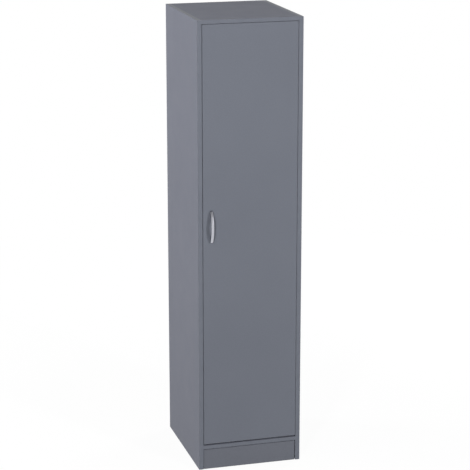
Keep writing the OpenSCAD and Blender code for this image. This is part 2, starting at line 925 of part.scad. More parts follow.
// Stops behind the door's free edge, each with a soft pad
module door_stops() {
    color(plastic)
        for (z = STOP_Z)
            difference() {
                block([-inner_x, stop_y, z - stop_len / 2],
                    [-inner_x + stop_w, stop_y + stop_t, z + stop_len / 2]);
                for (up = SIDES)
                    towards_side(-1, stop_y + stop_t / 2, z + up * stop_screw_z, stop_w)
                        screw_hole(STOP_SCREW);
            }
}

module stop_pads() {
    color(soft_pad)
        for (z = STOP_Z)
            rod_y([-inner_x + stop_w - pad_d / 2 - pad_inset, stop_y - pad_t, z], pad_d / 2, pad_t);
}

module stop_screws() {
    color(zinc)
        for (z = STOP_Z, up = SIDES)
            towards_side(-1, stop_y + stop_t / 2, z + up * stop_screw_z, stop_w)
                screw(STOP_SCREW);
}

// Angle bracket under the top panel, for the screw that ties it to a wall
module wall_bracket() {
    color(steel)
        difference() {
            union() {
                block([-wall_w / 2, wall_front_y, top_z - wall_leg],
                    [wall_w / 2, wall_front_y + bracket_t, top_z]);
                block([-wall_w / 2, wall_front_y + bracket_t - wall_leg, top_z - bracket_t],
                    [wall_w / 2, wall_front_y + bracket_t, top_z]);
            }
            rod_y([0, wall_front_y - cut, anchor_z], anchor_d / 2, bracket_t + 2 * cut);
            for (y = WALL_SCREW_Y)
                upwards(0, y, top_z - bracket_t)
                    screw_hole(WOOD_SCREW);
        }
}

module wall_bracket_screws() {
    color(zinc)
        for (y = WALL_SCREW_Y)
            upwards(0, y, top_z - bracket_t)
                screw(WOOD_SCREW);
}

left_side_panel();
right_side_panel();
top_panel();
bottom_panel();
hat_shelf();
back_panel();
plinth();
left_edge_band();
right_edge_band();
top_edge_band();
bottom_edge_band();
shelf_edge_band();
cam_bolts();
cam_locks();
wood_dowels();
plinth_brackets();
plinth_screws();
hanging_rail();
rail_socket_left();
rail_socket_right();
rail_screws();
hinge_plate(HINGE_Z[0]);  // hinge_plate_bottom
hinge_plate(HINGE_Z[1]);  // hinge_plate_middle
hinge_plate(HINGE_Z[2]);  // hinge_plate_top
hinge_arm(HINGE_Z[0]);  // hinge_arm_bottom
hinge_arm(HINGE_Z[1]);  // hinge_arm_middle
hinge_arm(HINGE_Z[2]);  // hinge_arm_top
plate_screws();
arm_screws();
arm_pins();
wall_bracket();
wall_bracket_screws();
door_stops();
stop_pads();
stop_screws();
door_panel();
door_edge_band();
bow_handle();
handle_screws();
hinge_cup(HINGE_Z[0]);  // hinge_cup_bottom
hinge_cup(HINGE_Z[1]);  // hinge_cup_middle
hinge_cup(HINGE_Z[2]);  // hinge_cup_top
cup_screws();
hinge_link(HINGE_Z[0]);  // hinge_link_bottom
hinge_link(HINGE_Z[1]);  // hinge_link_middle
hinge_link(HINGE_Z[2]);  // hinge_link_top
link_pins();
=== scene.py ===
"""Looks of a tall grey wardrobe with one inset door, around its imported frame.

Metres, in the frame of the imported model: Z is up and the door faces -Y.
"""

import json
import math

import bmesh
import bpy
from mathutils import Matrix, Vector

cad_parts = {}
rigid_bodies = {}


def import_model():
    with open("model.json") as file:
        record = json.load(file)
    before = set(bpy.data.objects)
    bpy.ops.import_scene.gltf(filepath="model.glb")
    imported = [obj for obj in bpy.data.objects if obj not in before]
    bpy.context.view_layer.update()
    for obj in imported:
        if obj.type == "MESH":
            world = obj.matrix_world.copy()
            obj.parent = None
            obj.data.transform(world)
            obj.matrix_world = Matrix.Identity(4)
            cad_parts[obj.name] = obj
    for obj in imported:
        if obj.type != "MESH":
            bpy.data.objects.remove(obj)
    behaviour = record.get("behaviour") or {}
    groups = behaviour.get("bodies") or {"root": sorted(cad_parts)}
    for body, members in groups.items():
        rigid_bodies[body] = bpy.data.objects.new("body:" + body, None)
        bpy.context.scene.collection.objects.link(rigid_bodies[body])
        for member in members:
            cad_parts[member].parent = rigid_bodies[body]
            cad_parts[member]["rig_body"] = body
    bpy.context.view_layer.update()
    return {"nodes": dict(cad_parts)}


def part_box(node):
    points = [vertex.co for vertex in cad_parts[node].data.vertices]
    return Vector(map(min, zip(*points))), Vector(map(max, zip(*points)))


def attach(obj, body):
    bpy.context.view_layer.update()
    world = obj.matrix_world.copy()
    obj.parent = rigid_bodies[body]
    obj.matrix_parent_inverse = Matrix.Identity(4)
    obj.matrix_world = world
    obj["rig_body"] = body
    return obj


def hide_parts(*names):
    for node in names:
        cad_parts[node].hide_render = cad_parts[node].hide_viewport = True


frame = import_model()
nodes = frame["nodes"]
MM = 0.001

# The photograph's camera, solved from the corners of the carcass
CAMERA_PLACE = Vector((-1.84619, -6.57076, 2.71945))
CAMERA_AIM = Vector((0.0082, 0.013, 0.8920))
SENSOR_WIDTH = 36.0
LENS = 134.61

# Small radii and widths of the finished edges
BOARD_EDGE = 0.15 * MM
BAND_EDGE = 0.4 * MM
METAL_EDGE = 0.25 * MM
PLASTIC_EDGE = 0.8 * MM

# Points this close are one point, and a point this close to a plane lies on it
SAME_POINT = 0.002 * MM
ON_PLANE = 0.01 * MM
# Faces that turn by less than this are one flat face
FLAT_ANGLE = math.radians(0.3)
# A face looks along an axis if its normal has at least this much of it
SQUARE_ON = 0.99

# Most of a noise's values lie in this span
NOISE_SPREAD = (0.3, 0.7)
# Sockets that share their names with others are reached by number: the two numbers that a
# Mix node mixes, and the lowest, the highest and the given number of a Random Value node
MIX_FIRST, MIX_SECOND = 2, 3
RANDOM_LOW, RANDOM_HIGH = 2, 3
RANDOM_RESULT = 1


def linear(hex_colour):
    """An sRGB hex colour as the linear RGBA that a shader reads."""
    channels = [int(hex_colour[i : i + 2], 16) / 255 for i in (1, 3, 5)]
    return tuple(c / 12.92 if c <= 0.04045 else ((c + 0.055) / 1.055) ** 2.4 for c in channels) + (1.0,)


def per_metre(size_mm):
    """The scale of a texture whose features are this many millimetres apart."""
    return 1.0 / (size_mm * MM)


def add(tree, kind, settings=None, links=None):
    """Adds a node. Settings are its properties or its sockets' values, and links are sockets to read."""
    node = tree.nodes.new(kind)
    for key, value in (settings or {}).items():
        if isinstance(key, str) and hasattr(node, key):
            setattr(node, key, value)
        else:
            node.inputs[key].default_value = value
    for key, source in (links or {}).items():
        tree.links.new(source, node.inputs[key])
    return node


def new_material(name, colour, roughness, metallic=0.0, **sockets):
    """A material whose Principled shader has these numbers on its own sockets."""
    material = bpy.data.materials.new(name)
    material.use_nodes = True
    tree = material.node_tree
    shader = tree.nodes["Principled BSDF"]
    shader.inputs["Base Color"].default_value = linear(colour)
    shader.inputs["Roughness"].default_value = roughness
    shader.inputs["Metallic"].default_value = metallic
    for key, value in sockets.items():
        shader.inputs[key.replace("_", " ")].default_value = value
    return material, tree, shader


def object_point(tree, stretch=(1, 1, 1)):
    """Object coordinates, scaled along each axis: a small number draws a pattern out along it."""
    place = add(tree, "ShaderNodeTexCoord").outputs["Object"]
    return add(tree, "ShaderNodeMapping", {"Scale": stretch}, {"Vector": place}).outputs["Vector"]


def noise(tree, point, size_mm, detail=2.0, roughness=0.5):
    """Noise whose features are size_mm apart."""
    return add(
        tree,
        "ShaderNodeTexNoise",
        {"Scale": per_metre(size_mm), "Detail": detail, "Roughness": roughness},
        {"Vector": point},
    ).outputs["Fac"]


def cells(tree, point, size_mm, randomness=1.0):
    """Cells size_mm apart, in even rows at a randomness of 0."""
    return add(
        tree,
        "ShaderNodeTexVoronoi",
        {"Scale": per_metre(size_mm), "Randomness": randomness},
        {"Vector": point},
    )


def cell_tone(tree, cell):
    """A random value for each cell."""
    return add(tree, "ShaderNodeSeparateColor", {}, {"Color": cell.outputs["Color"]}).outputs["Red"]


def blend_values(tree, first, second, share):
    """A mix of two values, with this share of the second."""
    links = {MIX_FIRST: first, MIX_SECOND: second}
    return add(tree, "ShaderNodeMix", {"Factor": share}, links).outputs["Result"]


def vary_colour(tree, shader, source, low, high, spread=NOISE_SPREAD):
    """Runs the base colour from low to high as source goes over spread."""
    ramp = add(tree, "ShaderNodeValToRGB", {}, {"Fac": source})
    for stop, place, colour in zip(ramp.color_ramp.elements, spread, (low, high)):
        stop.position = place
        stop.color = linear(colour)
    tree.links.new(ramp.outputs["Color"], shader.inputs["Base Color"])
    return ramp


def vary_roughness(tree, shader, source, low, high):
    """Runs the roughness from low to high as a noise goes over its spread."""
    start, end = NOISE_SPREAD
    span = add(
        tree,
        "ShaderNodeMapRange",
        {"From Min": start, "From Max": end, "To Min": low, "To Max": high},
        {"Value": source},
    )
    tree.links.new(span.outputs["Result"], shader.inputs["Roughness"])


def raise_bump(tree, shader, source, depth_mm, strength):
    """Bumps the surface by source, to this depth."""
    settings = {"Strength": strength, "Distance": depth_mm * MM}
    bump = add(tree, "ShaderNodeBump", settings, {"Height": source})
    tree.links.new(bump.outputs["Normal"], shader.inputs["Normal"])


# Grey melamine on the boards: a printed paper pressed with a fine pearl texture, so it
# is matt, even in colour and slightly mottled from close up.
def make_melamine(name, colour, low, high):
    material, tree, shader = new_material(name, colour, roughness=0.5, Specular_IOR_Level=0.15)
    point = object_point(tree)
    clouds = noise(tree, point, size_mm=400)
    mottle = noise(tree, point, size_mm=3.5, detail=3.0, roughness=0.6)
    both = blend_values(tree, clouds, mottle, share=0.6)
    vary_colour(tree, shader, both, low, high)
    vary_roughness(tree, shader, noise(tree, point, size_mm=70), 0.49, 0.52)
    # The real pearl is about 0.5 mm; it is drawn at 2 mm so that it shows
    raise_bump(tree, shader, noise(tree, point, size_mm=2), depth_mm=0.12, strength=0.8)
    return material


# ABS edge band: extruded plastic in the same grey, a little smoother, with the faint
# lengthwise lines of the trimming cutter.
def make_edge_band():
    material, tree, shader = new_material(
        "grey_edge_band", "#757983", roughness=0.42, Specular_IOR_Level=0.2
    )
    vary_colour(tree, shader, noise(tree, object_point(tree), size_mm=35), "#737781", "#777B85")
    lines = noise(tree, object_point(tree, (1, 1, 0.02)), size_mm=0.8)
    raise_bump(tree, shader, lines, depth_mm=0.02, strength=0.5)
    return material


# Raw particle board, where an edge or a bore has no band: pressed flakes and dust of
# pale wood, from dark bark to light splinters.
def make_chipboard():
    material, tree, shader = new_material(
        "raw_particle_board", "#B59A74", roughness=0.85, Specular_IOR_Level=0.2
    )
    point = object_point(tree, (1, 1, 0.6))
    flakes = cell_tone(tree, cells(tree, point, size_mm=2.4))
    dust = noise(tree, point, size_mm=0.7, detail=4.0, roughness=0.7)
    both = blend_values(tree, flakes, dust, share=0.5)
    ramp = vary_colour(tree, shader, both, "#8C6F4C", "#D2BC96", spread=(0.2, 0.85))
    middle = ramp.color_ramp.elements.new(0.5)
    middle.color = linear("#B4986F")
    raise_bump(tree, shader, both, depth_mm=0.35, strength=0.8)
    return material


# Hardboard back: the rear is raw brown fibre with the print of the press's screen.
def make_hardboard():
    material, tree, shader = new_material(
        "raw_hardboard", "#8A6A4D", roughness=0.75, Specular_IOR_Level=0.25
    )
    point = object_point(tree)
    fibres = noise(tree, point, size_mm=6, detail=4.0, roughness=0.65)
    both = blend_values(tree, fibres, noise(tree, point, size_mm=90), share=0.4)
    vary_colour(tree, shader, both, "#7D5E43", "#967557")
    screen = cells(tree, point, size_mm=2, randomness=0.15)
    raise_bump(tree, shader, screen.outputs["Distance"], depth_mm=0.18, strength=0.6)
    return material


# Inner face of the back: the same hardboard under a thin grey lacquer.
def make_lacquer():
    material, tree, shader = new_material(
        "grey_lacquer", "#7A7E87", roughness=0.4, Specular_IOR_Level=0.4
    )
    point = object_point(tree)
    vary_colour(tree, shader, noise(tree, point, size_mm=120), "#777B84", "#7D818A")
    raise_bump(tree, shader, noise(tree, point, size_mm=3.5, detail=3.0), depth_mm=0.05, strength=0.5)
    return material


# Satin nickel of the bow: cast zinc, nickel plated and brushed along its length, so the
# light drags out into a long soft streak.
def make_satin_nickel():
    material, tree, shader = new_material("satin_nickel", "#BBBCC3", roughness=0.14, metallic=1.0)
    strokes = noise(tree, object_point(tree, (1, 1, 0.015)), size_mm=0.35, detail=3.0, roughness=0.6)
    vary_colour(tree, shader, strokes, "#AFB0B8", "#C7C8D0")
    vary_roughness(tree, shader, strokes, 0.1, 0.17)
    raise_bump(tree, shader, strokes, depth_mm=0.012, strength=0.6)
    return material


# Bright nickel plate on pressed steel: the hinge cups, arms and plates.
def make_bright_nickel():
    material, tree, shader = new_material("bright_nickel_plate", "#D6D7D8", roughness=0.3, metallic=0.6)
    point = object_point(tree)
    vary_roughness(tree, shader, noise(tree, point, size_mm=9, detail=3.0), 0.26, 0.36)
    raise_bump(tree, shader, noise(tree, point, size_mm=1.4), depth_mm=0.01, strength=0.5)
    return material


# Zinc plate on brackets, links and pins: bluish, with a faint crystalline bloom.
def make_zinc():
    material, tree, shader = new_material("zinc_plate", "#B9BDC2", roughness=0.32, metallic=0.8)
    point = object_point(tree)
    bloom = cell_tone(tree, cells(tree, point, size_mm=5))
    vary_colour(tree, shader, bloom, "#AEB2B8", "#C2C6CA", spread=(0.0, 1.0))
    vary_roughness(tree, shader, noise(tree, point, size_mm=3), 0.26, 0.4)
    return material


# Passivated screws, cams and bolts: zinc with a slight yellow-blue cast, tumbled, so the
# edges are soft and the faces a little dull.
def make_screw_zinc():
    material, tree, shader = new_material("passivated_zinc", "#C7C6BF", roughness=0.3, metallic=0.8)
    point = object_point(tree)
    vary_colour(tree, shader, noise(tree, point, size_mm=2.5), "#BBBDC0", "#D0CDBF")
    vary_roughness(tree, shader, noise(tree, point, size_mm=1.2), 0.24, 0.42)
    return material


# Chrome plate on the hanging rail: a mirror with faint rings where hangers have rubbed.
def make_chrome():
    material, tree, shader = new_material("chrome_plate", "#D9DADD", roughness=0.07, metallic=1.0)
    rubs = noise(tree, object_point(tree, (1, 0.05, 0.05)), size_mm=2.5, detail=3.0)
    vary_roughness(tree, shader, rubs, 0.05, 0.17)
    return material


# Moulded polypropylene of the rail sockets and door stops: fine spark-eroded grain.
def make_plastic():
    material, tree, shader = new_material("moulded_plastic", "#5A5D63", roughness=0.5)
    grain = noise(tree, object_point(tree), size_mm=0.6, detail=3.0)
    vary_colour(tree, shader, grain, "#565960", "#5F6268")
    raise_bump(tree, shader, grain, depth_mm=0.05, strength=0.6)
    return material


# Clear polyurethane pads: soft, cloudy and slightly tacky.
def make_soft_pad():
    material, tree, shader = new_material(
        "clear_polyurethane", "#D4D8DA", roughness=0.35, Transmission_Weight=0.35
    )
    vary_roughness(tree, shader, noise(tree, object_point(tree), size_mm=1.5), 0.28, 0.45)
    return material


# Beech dowels: pale fine-grained wood with short dark flecks along the rod.
def make_beech():
    material, tree, shader = new_material("beech", "#CFAE82", roughness=0.6)
    flecks = noise(tree, object_point(tree, (0.12, 1, 1)), size_mm=0.8, detail=3.0)
    vary_colour(tree, shader, flecks, "#B8936A", "#D8BB92")
    raise_bump(tree, shader, flecks, depth_mm=0.05, strength=0.5)
    return material


MELAMINE = make_melamine("grey_melamine", "#777A87", "#737683", "#7B7E8B")
# The door is of another batch of board, a little greener; the plinth's board is drawn a little darker as
# painted shade, for the shade low on the body under the bottom board
DOOR_MELAMINE = make_melamine("grey_door_melamine", "#767A84", "#727680", "#7A7E88")
PLINTH_MELAMINE_PAINTED_SHADE = make_melamine("grey_plinth_melamine_painted_shade", "#73767F", "#6F727B", "#777A83")
BAND = make_edge_band()
CHIPBOARD = make_chipboard()
HARDBOARD = make_hardboard()
LACQUER = make_lacquer()
SATIN_NICKEL = make_satin_nickel()
BRIGHT_NICKEL = make_bright_nickel()
ZINC = make_zinc()
SCREW_ZINC = make_screw_zinc()
CHROME = make_chrome()
PLASTIC = make_plastic()
SOFT_PAD = make_soft_pad()
BEECH = make_beech()


def joined_copy(node):
    """The CAD node's mesh with its loose triangles joined."""
    mesh = bmesh.new()
    mesh.from_mesh(nodes[node].data)
    bmesh.ops.remove_doubles(mesh, verts=mesh.verts, dist=SAME_POINT)
    return mesh


def clean_copy(node):
    """The CAD node's mesh with each flat face whole and shaded flat."""
    mesh = joined_copy(node)
    bmesh.ops.dissolve_limit(
        mesh, angle_limit=FLAT_ANGLE, verts=mesh.verts, edges=mesh.edges, delimit=set()
    )
    for face in mesh.faces:
        face.smooth = False
    return mesh


def new_object(name, mesh):
    """An object in the scene, made of a bmesh."""
    data = bpy.data.meshes.new(name)
    mesh.to_mesh(data)
    mesh.free()
    thing = bpy.data.objects.new(name, data)
    bpy.context.scene.collection.objects.link(thing)
    return thing


def finished_mesh(thing):
    """The mesh of an object with its modifiers applied."""
    return bpy.data.meshes.new_from_object(thing.evaluated_get(bpy.context.evaluated_depsgraph_get()))


def place_piece(name, mesh, materials, node):
    """Makes a piece that stands for a CAD node: it rides on the node's body, and the node is hidden."""
    piece = new_object(name, mesh)
    for material in materials:
        piece.data.materials.append(material)
    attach(piece, nodes[node]["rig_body"])
    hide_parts(node)
    return piece


def round_edges(piece, width, segments=2, angle=40):
    """Rounds every sharp edge with a live bevel."""
    bevel = piece.modifiers.new("rounded_edges", "BEVEL")
    bevel.width = width
    bevel.segments = segments
    bevel.limit_method = "ANGLE"
    bevel.angle_limit = math.radians(angle)
    bevel.use_clamp_overlap = True
    bevel.harden_normals = True


def smooth_faces(mesh, angle=35):
    """Shades smooth, and keeps the edges sharp that turn by more than the angle."""
    for face in mesh.faces:
        face.smooth = True
    for edge in mesh.edges:
        if len(edge.link_faces) == 2:
            edge.smooth = edge.calc_face_angle(0.0) < math.radians(angle)


def rear_centre(low, high):
    """The middle of the rear face of a box."""
    return Vector(((low.x + high.x) / 2, high.y, (low.z + high.z) / 2))


# Each board with the axis across its thickness, and the directions in which its narrow
# faces are banded
BOARDS = {
    "left_side_panel": (0, ("+z",)),
    "right_side_panel": (0, ("+z",)),
    "top_panel": (2, ()),
    "bottom_panel": (2, ()),
    "hat_shelf": (2, ()),
    "plinth": (1, ("+z", "-x", "+x")),
    "door_panel": (1, ()),
}
# A board's materials in order: its wide faces, the raw ones and the banded ones
WIDE, RAW, BANDED = range(3)
# A wide face lies this close to the board's box, and the floor of a groove or a bore doesn't
WIDE_DEPTH = 0.1 * MM


def direction_name(normal):
    """The signed axis that a normal looks along most."""
    axis = max(range(3), key=lambda i: abs(normal[i]))
    return ("-" if normal[axis] < 0 else "+") + "xyz"[axis]


def make_board(node, thin, banded):
    """A board: its two wide faces are melamine, and the others are raw board or banded."""
    mesh = clean_copy(node)
    low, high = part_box(node)
    for face in mesh.faces:
        level = face.calc_center_median()[thin]
        depth = min(level - low[thin], high[thin] - level)
        if abs(face.normal[thin]) > SQUARE_ON and depth < WIDE_DEPTH:
            face.material_index = WIDE
        else:
            face.material_index = BANDED if direction_name(face.normal) in banded else RAW
    # The plinth's paper is darker as painted shade; the door's is another batch, a little greener
    paper = {"plinth": PLINTH_MELAMINE_PAINTED_SHADE, "door_panel": DOOR_MELAMINE}.get(node, MELAMINE)
    piece = place_piece(node + "_board", mesh, [paper, CHIPBOARD, BAND], node)
    round_edges(piece, BOARD_EDGE, segments=1)


def make_back():
    """The back: lacquered inside, and raw behind and on its edges."""
    mesh = clean_copy("back_panel")
    for face in mesh.faces:
        face.material_index = 0 if face.normal.y < -SQUARE_ON else 1
    place_piece("back_panel_sheet", mesh, [LACQUER, HARDBOARD], "back_panel")


def round_picked(mesh, picked):
    """Rounds these edges of a band, as the trimming cutter does."""
    bmesh.ops.bevel(
        mesh,
        geom=picked,
        offset=BAND_EDGE,
        offset_type="OFFSET",
        segments=3,
        profile=0.5,
        affect="EDGES",
        clamp_overlap=True,
    )


def make_strip(node):
    """A straight edge band, rounded round its front face."""
    mesh = clean_copy(node)
    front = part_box(node)[0].y
    picked = [e for e in mesh.edges if all(abs(v.co.y - front) < ON_PLANE for v in e.verts)]
    round_picked(mesh, picked)
    place_piece(node + "_strip", mesh, [BAND], node)


# Each side of the door is longer than this
DOOR_SIDE_LEAST = 0.3


def make_door_band():
    """The band round the door, rounded along its outer front and rear edges."""
    node = "door_edge_band"
    mesh = clean_copy(node)
    low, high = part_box(node)

    def on_rim(point):
        return any(min(abs(point[i] - low[i]), abs(point[i] - high[i])) < ON_PLANE for i in (0, 2))

    def runs_round(edge):
        first, second = (v.co for v in edge.verts)
        level = abs(first.y - second.y) < ON_PLANE
        along_one_side = sum(abs(first[i] - second[i]) > ON_PLANE for i in (0, 2)) == 1
        return level and along_one_side and (first - second).length > DOOR_SIDE_LEAST

    picked = [e for e in mesh.edges if runs_round(e) and all(on_rim(v.co) for v in e.verts)]
    round_picked(mesh, picked)
    place_piece("door_band_frame", mesh, [BAND], node)


for board, (thin_axis, banded_sides) in BOARDS.items():
    make_board(board, thin_axis, banded_sides)
make_back()
for strip in ("left_edge_band", "right_edge_band", "top_edge_band", "bottom_edge_band", "shelf_edge_band"):
    make_strip(strip)
make_door_band()


def make_softened(node, name, material, width):
    """A piece of metal or plastic that keeps the CAD form and gets rounded edges."""
    mesh = clean_copy(node)
    smooth_faces(mesh)
    round_edges(place_piece(name, mesh, [material], node), width)


for level_name in ("bottom", "middle", "top"):
    make_softened(f"hinge_plate_{level_name}", f"mounting_plate_{level_name}", BRIGHT_NICKEL, METAL_EDGE)
    make_softened(f"hinge_arm_{level_name}", f"cranked_arm_{level_name}", BRIGHT_NICKEL, METAL_EDGE)
    make_softened(f"hinge_cup_{level_name}", f"pressed_cup_{level_name}", BRIGHT_NICKEL, METAL_EDGE)
    make_softened(f"hinge_link_{level_name}", f"bent_link_{level_name}", ZINC, METAL_EDGE)
for side in ("left", "right"):
    make_softened(f"rail_socket_{side}", f"socket_{side}", PLASTIC, PLASTIC_EDGE / 2)
make_softened("door_stops", "stop_blocks", PLASTIC, PLASTIC_EDGE)
make_softened("wall_bracket", "wall_angle", ZINC, METAL_EDGE)
make_softened("plinth_brackets", "plinth_angles", ZINC, METAL_EDGE)
make_softened("hanging_rail", "oval_rail", CHROME, METAL_EDGE / 2)

# The CAD nodes that keep their own mesh, with their finishes
KEPT_NODES = {
    "cam_bolts": SCREW_ZINC,
    "cam_locks": SCREW_ZINC,
    "wood_dowels": BEECH,
    "arm_pins": ZINC,
    "link_pins": ZINC,
}
for kept_node, finish in KEPT_NODES.items():
    nodes[kept_node].data.materials.clear()
    nodes[kept_node].data.materials.append(finish)


def islands(node):
    """The box of each separate solid of a CAD node."""
    mesh = joined_copy(node)
    left = set(mesh.verts)
    boxes = []
    while left:
        seed = min(left, key=lambda v: v.index)
        left.discard(seed)
        group, edge = [seed], [seed]
        while edge:
            here = edge.pop()
            for link in here.link_edges:
                there = link.other_vert(here)
                if there in left:
                    left.discard(there)
                    group.append(there)
                    edge.append(there)
        spans = [[v.co[i] for v in group] for i in range(3)]
        boxes.append((Vector([min(s) for s in spans]), Vector([max(s) for s in spans])))
    mesh.free()
    return boxes


# A smaller radius than this is on the axis of a turned solid
ON_AXIS = 1e-7
# Steps of a dome from its top to its rim
DOME_STEPS = 6


def lathe(profile, segments=24):
    """A closed solid turned about Z from a profile of (radius, height), which starts and ends on the axis."""
    mesh = bmesh.new()
    rings = []
    for radius, height in profile:
        if radius < ON_AXIS:
            rings.append([mesh.verts.new((0, 0, height))])
            continue
        turns = [2 * math.pi * i / segments for i in range(segments)]
        rings.append([mesh.verts.new((radius * math.cos(t), radius * math.sin(t), height)) for t in turns])
    for low, high in zip(rings, rings[1:]):
        for i in range(segments):
            j = (i + 1) % segments
            corners = [low[i % len(low)], low[j % len(low)], high[j % len(high)], high[i % len(high)]]
            unique = list(dict.fromkeys(corners))
            if len(unique) > 2:
                mesh.faces.new(unique)
    bmesh.ops.recalc_face_normals(mesh, faces=mesh.faces)
    return mesh


# One screw of unit size, with a domed head, a cross recess and a threaded shank. Radii and
# widths are shares of the head's width, and heights are shares of the screw's length.
HEAD_RADIUS = 0.5
HEAD_HEIGHT = 0.16
NECK_RADIUS = 0.27
NECK_LEVEL = -1.04 * HEAD_HEIGHT
CORE_RADIUS = 0.19
CREST_RADIUS = 0.245
THREAD_START = -1.1 * HEAD_HEIGHT
THREAD_END = -0.93
THREAD_TURNS = 9
# Each crest lies this far down its turn
CREST_SHARE = 0.45
RECESS_LENGTH = 0.5
RECESS_WIDTH = 0.1
# Half of the bar stands over the head, so the recess is half as deep
RECESS_BAR_HEIGHT = 0.14
# Screws, pads and the handle keep the edges sharp that turn by more degrees than this
CURVED_SHARP = 50


def screw_profile():
    """The screw's outline from the top of its head to its tip, as (radius, height)."""
    angles = [i * math.pi / 2 / DOME_STEPS for i in range(1, DOME_STEPS + 1)]
    dome = [(HEAD_RADIUS * math.sin(a), -HEAD_HEIGHT * (1 - math.cos(a))) for a in angles]
    pitch = (THREAD_START - THREAD_END) / THREAD_TURNS
    thread = []
    for i in range(THREAD_TURNS):
        thread.append((CORE_RADIUS, THREAD_START - i * pitch))
        thread.append((CREST_RADIUS, THREAD_START - (i + CREST_SHARE) * pitch))
    tip = [(CORE_RADIUS, THREAD_END), (0.0, -1.0)]
    return [(0.0, 0.0)] + dome + [(NECK_RADIUS, NECK_LEVEL)] + thread + tip


def recess_cutter():
    """Two crossed bars, centred on the top of the head."""
    mesh = bmesh.new()
    for turn in (0, 90):
        bar = bmesh.ops.create_cube(mesh, size=1.0)["verts"]
        bmesh.ops.scale(mesh, vec=(RECESS_LENGTH, RECESS_WIDTH, RECESS_BAR_HEIGHT), verts=bar)
        quarter = Matrix.Rotation(math.radians(turn), 3, "Z")
        bmesh.ops.rotate(mesh, cent=(0, 0, 0), matrix=quarter, verts=bar)
    return new_object("recess_cutter", mesh)


def screw_template():
    """A screw 1 long and 1 across its head, pointing down from its head's top at the origin."""
    mesh = lathe(screw_profile())
    smooth_faces(mesh, CURVED_SHARP)
    screw = new_object("screw_template", mesh)
    cutter = recess_cutter()
    cut = screw.modifiers.new("recess", "BOOLEAN")
    cut.operation = "DIFFERENCE"
    cut.solver = "EXACT"
    cut.use_self = True
    cut.object = cutter
    result = finished_mesh(screw)
    screw.modifiers.clear()
    screw.data = result
    bpy.data.objects.remove(cutter)
    screw.hide_render = True
    return screw


# The inputs of the tree that sets the fasteners, with their kinds
FASTENER_INPUTS = {
    "Geometry": "Geometry",
    "Template": "Object",
    "Aim": "Rotation",
    "Head Width": "Float",
    "Length": "Float",
    "Seed": "Int",
    "Finish": "Material",
}


def fastener_tree():
    """A tree that sets the template on every point, at a head width and a length and turned to an aim."""
    tree = bpy.data.node_groups.new("set_fasteners", "GeometryNodeTree")
    for name, kind in FASTENER_INPUTS.items():
        tree.interface.new_socket(name, in_out="INPUT", socket_type="NodeSocket" + kind)
    tree.interface.new_socket("Geometry", in_out="OUTPUT", socket_type="NodeSocketGeometry")
    given = add(tree, "NodeGroupInput").outputs
    template = add(
        tree,
        "GeometryNodeObjectInfo",
        {"transform_space": "ORIGINAL"},
        {"Object": given["Template"]},
    )
    # Each screw stops at its own angle
    angle = add(
        tree,
        "FunctionNodeRandomValue",
        {"data_type": "FLOAT", RANDOM_LOW: 0.0, RANDOM_HIGH: math.pi},
        {"Seed": given["Seed"]},
    )
    spin = add(tree, "ShaderNodeCombineXYZ", {}, {"Z": angle.outputs[RANDOM_RESULT]})
    own_turn = add(tree, "FunctionNodeEulerToRotation", {}, {"Euler": spin.outputs["Vector"]})
    turned = add(
        tree,
        "FunctionNodeRotateRotation",
        {"rotation_space": "LOCAL"},
        {"Rotation": given["Aim"], "Rotate By": own_turn.outputs["Rotation"]},
    )
    size = add(
        tree,
        "ShaderNodeCombineXYZ",
        {},
        {"X": given["Head Width"], "Y": given["Head Width"], "Z": given["Length"]},
    )
    placed = add(
        tree,
        "GeometryNodeInstanceOnPoints",
        {},
        {
            "Points": given["Geometry"],
            "Instance": template.outputs["Geometry"],
            "Rotation": turned.outputs["Rotation"],
            "Scale": size.outputs["Vector"],
        },
    )
    real = add(tree, "GeometryNodeRealizeInstances", {}, {"Geometry": placed.outputs["Instances"]})
    coated = add(
        tree,
        "GeometryNodeSetMaterial",
        {},
        {"Geometry": real.outputs["Geometry"], "Material": given["Finish"]},
    )
    add(tree, "NodeGroupOutput", {}, {"Geometry": coated.outputs["Geometry"]})
    return tree


def socket_key(tree, name):
    """The identifier of a tree's named input."""
    return next(s.identifier for s in tree.interface.items_tree if s.name == name and s.in_out == "INPUT")


SCREW = screw_template()
FASTENERS = fastener_tree()
OUTWARD = {
    "-x": Vector((-1, 0, 0)),
    "+x": Vector((1, 0, 0)),
    "+y": Vector((0, 1, 0)),
    "-z": Vector((0, 0, -1)),
}
# Each group of screws with the way that its heads face. The rail's face inwards from both
# sides, and a bracket's lie along either of its two legs.
SCREW_GROUPS = {
    "plate_screws": "-x",
    "arm_screws": "-x",
    "cup_screws": "+y",
    "handle_screws": "+y",
    "rail_screws": "inwards",
    "stop_screws": "+x",
    "wall_bracket_screws": "-z",
    "plinth_screws": "bracket",
}


def heads_face(way, box):
    """The outward direction of one screw's head."""
    low, high = box
    if way == "inwards":
        return "+x" if low.x < 0 else "-x"
    if way == "bracket":
        return "+y" if (high.y - low.y) > (high.z - low.z) else "-z"
    return way


def set_screws(name, direction, boxes, seed):
    """The mesh of screws that fill these boxes, all alike and with their heads facing one way."""
    aim = OUTWARD[direction]
    axis = max(range(3), key=lambda i: abs(aim[i]))
    across = (axis + 1) % 3
    points = bmesh.new()
    for low, high in boxes:
        spot = (low + high) / 2
        spot[axis] = high[axis] if aim[axis] > 0 else low[axis]
        points.verts.new(spot)
    holder = new_object(name, points)
    setter = holder.modifiers.new("set_fasteners", "NODES")
    setter.node_group = FASTENERS
    low, high = boxes[0]
    values = {
        "Template": SCREW,
        "Aim": aim.to_track_quat("Z", "Y").to_euler(),
        "Head Width": high[across] - low[across],
        "Length": high[axis] - low[axis],
        "Seed": seed,
        "Finish": SCREW_ZINC,
    }
    for key, value in values.items():
        setter[socket_key(FASTENERS, key)] = value
    plain = finished_mesh(holder)
    bpy.data.objects.remove(holder)
    return plain


